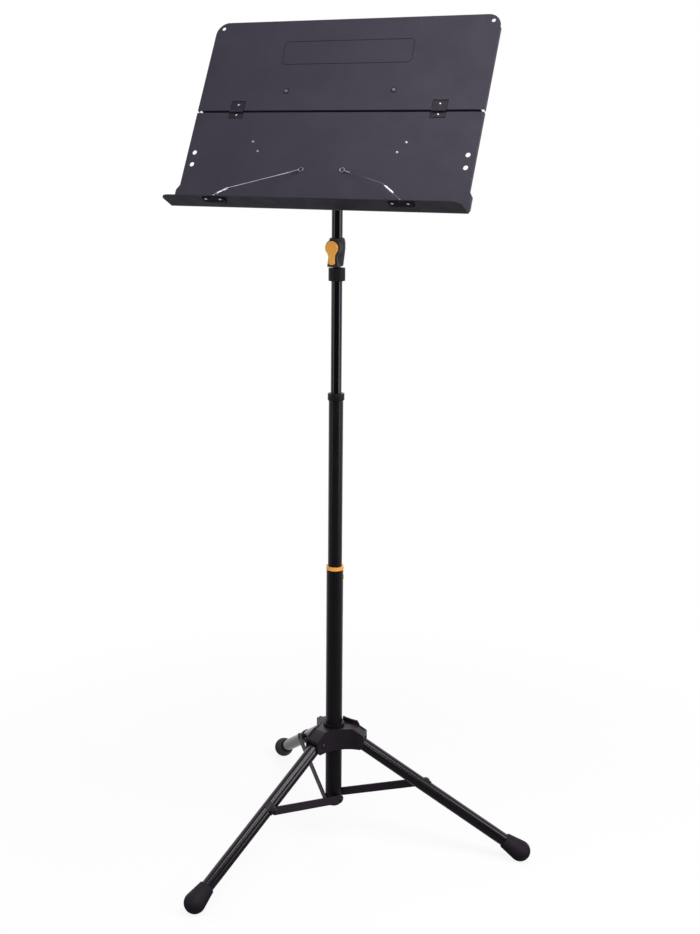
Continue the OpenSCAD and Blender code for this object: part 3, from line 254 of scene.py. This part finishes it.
HUB = painted(
    "hub_casting", (0.0085, 0.0054, 0.0088), (0.0125, 0.0088, 0.0130), 0.42, 0.28,
    grain=1400.0, grain_depth=0.3)
ORANGE = painted(
    "orange_plastic", (0.90, 0.39, 0.060), (0.96, 0.45, 0.085), 0.36, 0.25,
    grain=1200.0, grain_depth=0.06, tint=NEUTRAL)
RUBBER = painted(
    "rubber", (0.0085, 0.0066, 0.0102), (0.0125, 0.0100, 0.0150), 0.62, 0.18,
    grain=1600.0, grain_depth=0.45)
RIVET_HEAD = painted("rivet_head", (0.060, 0.052, 0.066), (0.078, 0.069, 0.086), 0.25, 0.6)
RIVET_STEEL = metal("rivet_steel", (0.36, 0.34, 0.40), (0.24, 0.225, 0.27), 0.30)
SCREW = metal("black_screw", (0.060, 0.055, 0.068), (0.035, 0.032, 0.040), 0.34)
ZINC = metal("zinc_steel", (0.72, 0.70, 0.74), (0.50, 0.48, 0.52), 0.28)
DRAWN = (300.0, 300.0, 300.0)
WIRE = metal("wire_steel", (0.36, 0.33, 0.37), (0.26, 0.235, 0.27), 0.32, DRAWN)
COIL = metal("spring_steel", (0.92, 0.84, 0.90), (0.78, 0.70, 0.77), 0.38, DRAWN)

CAD_MATERIALS = {
    "lower_tube": SATIN_TUBE, "bottom_plug": PLASTIC, "strut_pins": SCREW, "shaft_ring": ORANGE,
    "hub": HUB, "hub_bush": PLASTIC, "leg_bolts": SCREW, "leg_nuts": SCREW,
    "middle_tube": SATIN_TUBE, "middle_collar": PLASTIC, "middle_foot_bush": PLASTIC,
    "upper_tube": TUBE, "upper_collar": PLASTIC, "upper_foot_bush": PLASTIC, "spigot": TUBE,
    "clamp_body": CLAMP, "clamp_screw": ZINC, "clamp_lever": ORANGE, "neck_tube": TUBE,
    "tilt_barrel": PLASTIC, "desk_bracket": BRACKET, "bracket_rivets": RIVET_STEEL, "tilt_bolt": ZINC,
    "tilt_nut": ZINC, "lower_panel": DESK, "lower_hinge_leaves": DESK, "hinge_pins": SCREW,
    "lower_leaf_rivets": ZINC, "holder_brackets": DARK_BRACKET, "holder_bracket_rivets": ZINC,
    "upper_panel": DESK, "upper_hinge_leaves": DESK, "upper_leaf_rivets": ZINC, "lock_rivets": RIVET_HEAD,
    "lock_bar_left": ZINC, "lock_bar_right": ZINC,
    "page_holder_left": WIRE, "page_holder_right": WIRE,
    "holder_spring_left": COIL, "holder_spring_right": COIL,
}
for letter in "abc":
    CAD_MATERIALS.update({
        f"leg_tube_{letter}": TUBE, f"leg_head_{letter}": PLASTIC, f"leg_clip_{letter}": BRACKET,
        f"foot_{letter}": RUBBER, f"strut_{letter}": BRACKET, f"strut_rivet_{letter}": SCREW})

for name, obj in NODES.items():
    obj.data.materials.clear()
    obj.data.materials.append(CAD_MATERIALS[name])


# ---- Softer edges on the cast, moulded and pressed parts ----

# Vertices nearer than this are one, in metres
SAME_PLACE = 0.00001
# Flats are merged below the first angle, and edges are rounded above the second
FLAT_BELOW = math.radians(0.6)
EDGE_ABOVE = math.radians(32)


def soften(name, width, merge_flats):
    """Rounds a CAD node's sharp edges and shades its flats flat."""
    modifiers = NODES[name].modifiers
    modifiers.new("weld", "WELD").merge_threshold = SAME_PLACE
    if merge_flats:
        flats = modifiers.new("flats", "DECIMATE")
        flats.decimate_type = "DISSOLVE"
        flats.angle_limit = FLAT_BELOW
    bevel = modifiers.new("bevel", "BEVEL")
    bevel.width = width
    bevel.segments = 2
    bevel.limit_method = "ANGLE"
    bevel.angle_limit = EDGE_ABOVE
    shade = modifiers.new("shade", "WEIGHTED_NORMAL")
    shade.mode = "FACE_AREA"
    shade.keep_sharp = False


# Width of each node's rounded edges, in mm
SOFT_EDGES = {
    "hub": 0.9, "clamp_body": 0.8, "clamp_lever": 1.4, "bottom_plug": 0.5, "upper_collar": 0.7,
    "middle_collar": 0.6, "shaft_ring": 0.3, "lower_panel": 0.22, "upper_panel": 0.22,
    "desk_bracket": 0.25, "tilt_barrel": 0.5, "holder_brackets": 0.3, "leg_nuts": 0.3,
    "tilt_nut": 0.4, "lock_bar_left": 0.2, "lock_bar_right": 0.2,
}
for letter in "abc":
    SOFT_EDGES.update({
        f"strut_{letter}": 0.35, f"leg_clip_{letter}": 0.3, f"foot_{letter}": 0.5,
        f"leg_head_{letter}": 0.5})
for name, width in SOFT_EDGES.items():
    soften(name, width * MM, merge_flats=name != "hub")


# ---- Mesh helpers ----

def mesh_piece(name, verts, faces, material, body):
    """A smooth mesh that rides on a body."""
    mesh = bpy.data.meshes.new(name)
    mesh.from_pydata([tuple(v) for v in verts], [], faces)
    mesh.validate()
    mesh.shade_smooth()
    mesh.materials.append(material)
    obj = bpy.data.objects.new(name, mesh)
    bpy.context.scene.collection.objects.link(obj)
    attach(obj, body)
    return obj


def sweep(points, radius, sides=10):
    """Round wire along a path: its vertices and faces, with domed ends."""
    count = len(points)
    tangents = [(points[min(i + 1, count - 1)] - points[max(i - 1, 0)]).normalized() for i in range(count)]
    side = tangents[0].orthogonal().normalized()
    verts, faces = [], []
    for i, (point, tangent) in enumerate(zip(points, tangents)):
        side = (side - tangent * side.dot(tangent)).normalized()
        other = tangent.cross(side)
        for k in range(sides):
            a = TAU * k / sides
            verts.append(point + radius * (side * math.cos(a) + other * math.sin(a)))
        if i:
            base = i * sides
            for k in range(sides):
                n = (k + 1) % sides
                faces.append((base - sides + k, base - sides + n, base + n, base + k))
    last = (count - 1) * sides
    dome = 0.6 * radius
    verts += [points[0] - tangents[0] * dome, points[-1] + tangents[-1] * dome]
    for k in range(sides):
        n = (k + 1) % sides
        faces.append((k, len(verts) - 2, n))
        faces.append((last + k, last + n, len(verts) - 1))
    return verts, faces


def together(parts):
    """Several meshes' vertices and faces in one."""
    verts, faces = [], []
    for part_verts, part_faces in parts:
        faces += [tuple(i + len(verts) for i in face) for face in part_faces]
        verts += part_verts
    return verts, faces


def rounded(points, radii, steps=8):
    """A path with each inner corner turned into an arc of the given radius."""
    path = [points[0]]
    for before, corner, after, r in zip(points, points[1:], points[2:], radii):
        u, v = (before - corner).normalized(), (after - corner).normalized()
        half = u.angle(v) / 2
        reach = r / math.tan(half)
        centre = corner + (u + v).normalized() * r / math.sin(half)
        start = (corner + u * reach - centre).normalized()
        end = (corner + v * reach - centre).normalized()
        path += [centre + r * start.slerp(end, k / steps) for k in range(steps + 1)]
    return path + [points[-1]]


# Turns over which a coil closes in at its ends
CLOSING_TURNS = 0.75


def helix(start, end, radius, turns, steps=14, phase=0.0, ease=1.0):
    """A coil from start to end, which closes in to ease times its radius at its ends."""
    axis = (end - start).normalized()
    side = axis.orthogonal().normalized()
    other = axis.cross(side)
    count = int(turns * steps)
    points = []
    for i in range(count + 1):
        f = i / count
        near_end = min(1.0, min(f, 1 - f) * turns / CLOSING_TURNS)
        r = radius * (ease + (1 - ease) * near_end)
        a = phase + TAU * turns * f
        points.append(start.lerp(end, f) + r * (side * math.cos(a) + other * math.sin(a)))
    return points


# ---- Page holders ----

# Radius of the wire, and outer radius of its eye
WIRE_R = 0.65 * MM
EYE_R = 4.4 * MM
EYE_STEPS = 40
# The twisted end below the eye: its length, its turns and the radius of each strand
TWIST_LEN = 15 * MM
TWIST_TURNS = 6.5
STRAND_R = 0.8 * WIRE_R
# The wire's foot and its bend, below and above the shelf's underside, and the radii at the bend and the knee
FOOT_DOWN = 1.7 * MM
BEND_UP = 3.0 * MM
BEND_RADII = (2.2 * MM, 5 * MM)
# The spring: its outer radius, its wire's radius, its pitch in mm and how far its ends close in
COIL_R = 1.85 * MM
COIL_WIRE_R = 0.36 * MM
COIL_PITCH = 0.86
COIL_EASE = 0.68
# Knee (along the arm, above the shelf's underside), spring's length and the bare wire above it, in mm
HOLDERS = {"left": (23.5, 19.8, 20.5, 1.5), "right": (41.7, 34.4, 24.5, 8.5)}


def page_holder(hand, knee_x, knee_z, coil_len, bare):
    """Wire arm with rounded bends, a flat eye and a twisted end, and its coil spring."""
    node = f"page_holder_{hand}"
    joint = JOINTS[f"holder_{hand}_swing"]
    pivot = Vector(joint["pos_m"])
    up = Vector(joint["axis"]).normalized()
    up = up if up.z > 0 else -up
    low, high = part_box(node)
    rim = EYE_R - WIRE_R
    eye = Vector((high.x - EYE_R if hand == "left" else low.x + EYE_R,
                  high.y - rim * math.sin(DESK_LEAN) - WIRE_R,
                  high.z - rim * math.cos(DESK_LEAN) - WIRE_R))
    along = ((eye - pivot) - up * (eye - pivot).dot(up)).normalized()

    def place(x, z):
        return pivot + along * x + up * z

    knee = place(knee_x * MM, knee_z * MM)
    bend = place(0, BEND_UP)
    run = (eye - knee).normalized()
    neck = eye - run * rim
    twist = neck - run * TWIST_LEN
    arm = rounded([place(0, -FOOT_DOWN), bend, knee, twist], BEND_RADII)
    desk_up = Vector((0, math.sin(DESK_LEAN), math.cos(DESK_LEAN)))
    across = Vector((1, 0, 0))
    ring = [eye + rim * (across * math.cos(TAU * k / EYE_STEPS) + desk_up * math.sin(TAU * k / EYE_STEPS))
            for k in range(EYE_STEPS + 1)]
    parts = [sweep(arm, WIRE_R), sweep(ring, WIRE_R)]
    for phase in (0.0, math.pi):
        parts.append(sweep(helix(twist, neck, STRAND_R, TWIST_TURNS, 12, phase), STRAND_R, 8))
    piece = mesh_piece(f"holder_wire_{hand}", *together(parts), WIRE, f"holder_{hand}")
    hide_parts(node)

    rise = (knee - bend).normalized()
    top = knee - rise * bare * MM
    start = top - rise * coil_len * MM
    inset = rise * COIL_WIRE_R
    coil = helix(start + inset, top - inset, COIL_R - COIL_WIRE_R, coil_len / COIL_PITCH, ease=COIL_EASE)
    spring = mesh_piece(f"coil_spring_{hand}", *sweep(coil, COIL_WIRE_R, 8), COIL, f"holder_{hand}")
    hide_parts(f"holder_spring_{hand}")


for hand, sizes in HOLDERS.items():
    page_holder(hand, *sizes)


# ---- Painted shade: thin dark rings round the lock rivets' heads ----

# Radii, thickness, and how deep the dark ring sits in the face
SHADE_RING_IN_R = 3.2 * MM
SHADE_RING_OUT_R = 5.1 * MM
SHADE_RING_T = 0.25 * MM
SHADE_RING_SUNK = 0.02 * MM
SHADE_RING_STEPS = 48


def shade_ring(name, centre, normal, material, body):
    """A flat ring with a rounded outer edge, standing on a face."""
    side = normal.orthogonal().normalized()
    other = normal.cross(side)
    profile = [
        (SHADE_RING_IN_R, 0.0), (SHADE_RING_IN_R, SHADE_RING_T), (SHADE_RING_OUT_R - SHADE_RING_T, SHADE_RING_T),
        (SHADE_RING_OUT_R - 0.3 * SHADE_RING_T, 0.7 * SHADE_RING_T), (SHADE_RING_OUT_R, 0.0)]
    count = len(profile)
    verts, faces = [], []
    for i in range(SHADE_RING_STEPS):
        a = TAU * i / SHADE_RING_STEPS
        out = side * math.cos(a) + other * math.sin(a)
        verts += [centre + normal * up + r * out for r, up in profile]
        here, there = i * count, (i + 1) % SHADE_RING_STEPS * count
        for k in range(count):
            n = (k + 1) % count
            faces.append((here + k, here + n, there + n, there + k))
    mesh_piece(name, verts, faces, material, body)


for hand in ("left", "right"):
    pivot = Vector(JOINTS[f"lock_{hand}_turn"]["pos_m"])
    on_face = pivot + FACE * (FACE_AT - FACE.dot(pivot) - SHADE_RING_SUNK)
    # A thin dark ring round each lock rivet's head: painted shade of the gap round the head
    shade_ring(f"lock_shade_ring_{hand}", on_face, FACE, PLASTIC, "desk_top")


# ---- Camera, light and floor ----

# Its turn is in radians and its downward tilt in degrees
CAMERA_PLACE = (0.8566, -2.0268, 1.2622)
CAMERA_YAW = math.radians(24.47)
CAMERA_DOWN = 14.15
CAMERA_LENS = 51.31
CAMERA_SHIFT = (0.053, -0.0055)
# Level direction from the camera to the backdrop
BACK = Vector((-math.sin(CAMERA_YAW), math.cos(CAMERA_YAW), 0))

# The soft light all round, and how pale the floor is as a source of it
WORLD_LIGHT = 0.16
WORLD_TINT = (0.98, 0.97, 1.0, 1)
FLOOR_BOUNCE = 0.22
# Along BACK, where reflections start to see the white backdrop and where they see all of it
GLOSS_ROOM = (-0.2, 0.6)
GLOSS_FLOOR = (-0.1, 0.75)
FLOOR_HALF = 30.0
FLOOR_Z = -0.0003
FLOOR_PALE = 0.92
# The floor's shadow fades out between these distances from the origin. At its strongest it is this much white
SHADOW_FROM = 0.45
SHADOW_TO = 1.1
SHADOW_WHITE = 0.88


def camera():
    """The photo's camera."""
    data = bpy.data.cameras.new("camera")
    data.lens = CAMERA_LENS
    data.sensor_width = 36.0
    data.shift_x, data.shift_y = CAMERA_SHIFT
    eye = bpy.data.objects.new("camera", data)
    eye.location = CAMERA_PLACE
    eye.rotation_euler = (math.radians(90 - CAMERA_DOWN), 0, CAMERA_YAW)
    bpy.context.scene.collection.objects.link(eye)
    bpy.context.scene.camera = eye


def seen_directly(tree, place, near, far):
    """1 for camera and transmission rays, and for glossy rays to the white backdrop behind the stand."""
    path = tree.nodes.new("ShaderNodeLightPath")
    behind = to_range(tree, dot(tree, place, BACK), 0.0, 1.0, near, far)
    glossy = maths(tree, "MULTIPLY", path.outputs["Is Glossy Ray"], behind)
    straight = maths(tree, "MAXIMUM", path.outputs["Is Camera Ray"], path.outputs["Is Transmission Ray"])
    return maths(tree, "MAXIMUM", straight, glossy)


def backdrop():
    """Soft light all round, and plain white to the eye."""
    world = bpy.data.worlds.new("studio")
    world.use_nodes = True
    bpy.context.scene.world = world
    tree = world.node_tree
    tree.nodes.clear()
    out = tree.nodes.new("ShaderNodeOutputWorld")
    soft = tree.nodes.new("ShaderNodeBackground")
    soft.inputs["Color"].default_value = WORLD_TINT
    soft.inputs["Strength"].default_value = WORLD_LIGHT
    seen = tree.nodes.new("ShaderNodeBackground")
    seen.inputs["Color"].default_value = (1, 1, 1, 1)
    seen.inputs["Strength"].default_value = 1.0
    direction = tree.nodes.new("ShaderNodeTexCoord")
    mix = tree.nodes.new("ShaderNodeMixShader")
    tree.links.new(seen_directly(tree, direction.outputs["Generated"], *GLOSS_ROOM), mix.inputs[0])
    tree.links.new(soft.outputs[0], mix.inputs[1])
    tree.links.new(seen.outputs[0], mix.inputs[2])
    tree.links.new(mix.outputs[0], out.inputs[0])


def lamp(name, place, target, width, height, power):
    """A soft box that faces its target."""
    data = bpy.data.lights.new(name, "AREA")
    data.shape = "RECTANGLE"
    data.size = width
    data.size_y = height
    data.energy = power
    obj = bpy.data.objects.new(name, data)
    obj.location = place
    obj.rotation_euler = (Vector(target) - Vector(place)).to_track_quat("-Z", "Y").to_euler()
    bpy.context.scene.collection.objects.link(obj)


def floor():
    """Pale floor: white to the eye, with the object's soft shadow near it."""
    mesh = bpy.data.meshes.new("floor")
    corners = [(x * FLOOR_HALF, y * FLOOR_HALF, FLOOR_Z) for x, y in ((-1, -1), (1, -1), (1, 1), (-1, 1))]
    mesh.from_pydata(corners, [], [(0, 1, 2, 3)])
    obj = bpy.data.objects.new("floor", mesh)
    bpy.context.scene.collection.objects.link(obj)
    mat = bpy.data.materials.new("floor")
    mat.use_nodes = True
    tree = mat.node_tree
    tree.nodes.clear()
    out = tree.nodes.new("ShaderNodeOutputMaterial")
    lit = tree.nodes.new("ShaderNodeBsdfDiffuse")
    lit.inputs["Color"].default_value = (FLOOR_PALE,) * 3 + (1,)
    white = tree.nodes.new("ShaderNodeEmission")
    white.inputs["Strength"].default_value = 1.0
    bounce = tree.nodes.new("ShaderNodeBsdfDiffuse")
    bounce.inputs["Color"].default_value = (FLOOR_BOUNCE,) * 3 + (1,)
    geometry = tree.nodes.new("ShaderNodeNewGeometry")
    length = tree.nodes.new("ShaderNodeVectorMath")
    length.operation = "LENGTH"
    tree.links.new(geometry.outputs["Position"], length.inputs[0])
    fade = to_range(tree, length.outputs["Value"], SHADOW_WHITE, 1.0, SHADOW_FROM, SHADOW_TO)
    shown = tree.nodes.new("ShaderNodeMixShader")
    tree.links.new(fade, shown.inputs[0])
    tree.links.new(lit.outputs[0], shown.inputs[1])
    tree.links.new(white.outputs[0], shown.inputs[2])
    both = tree.nodes.new("ShaderNodeMixShader")
    tree.links.new(seen_directly(tree, geometry.outputs["Position"], *GLOSS_FLOOR), both.inputs[0])
    tree.links.new(bounce.outputs[0], both.inputs[1])
    tree.links.new(shown.outputs[0], both.inputs[2])
    tree.links.new(both.outputs[0], out.inputs[0])
    mesh.materials.append(mat)


def around(degrees, distance, height):
    """A place at an angle round the stand, counted from the camera's side to its right."""
    a = math.radians(-90) + CAMERA_YAW + math.radians(degrees)
    return (distance * math.cos(a), distance * math.sin(a), height)


bpy.context.scene.view_settings.view_transform = "Standard"
camera()
backdrop()
floor()
# Each lamp: its place and target, its width and height in metres, and its power in watts
lamp("soft_left", around(-64, 2.1, 1.2), (0, 0, 1.0), 0.7, 2.2, 11)
lamp("soft_right", around(64, 2.1, 1.2), (0, 0, 1.0), 0.9, 2.2, 23)
lamp("soft_front", around(-4, 2.4, 1.95), (0, 0, 0.9), 1.9, 0.9, 27)
lamp("soft_top", (1.05, -0.50, 2.25), (0.1, 0, 1.1), 1.1, 1.1, 22)
lamp("soft_back", (-0.9, 1.9, 2.3), (0, 0, 1.1), 1.2, 0.8, 14)
lamp("soft_desk", (-0.05, -0.80, 2.45), (0.1, 0, 1.2), 0.6, 0.6, 8)
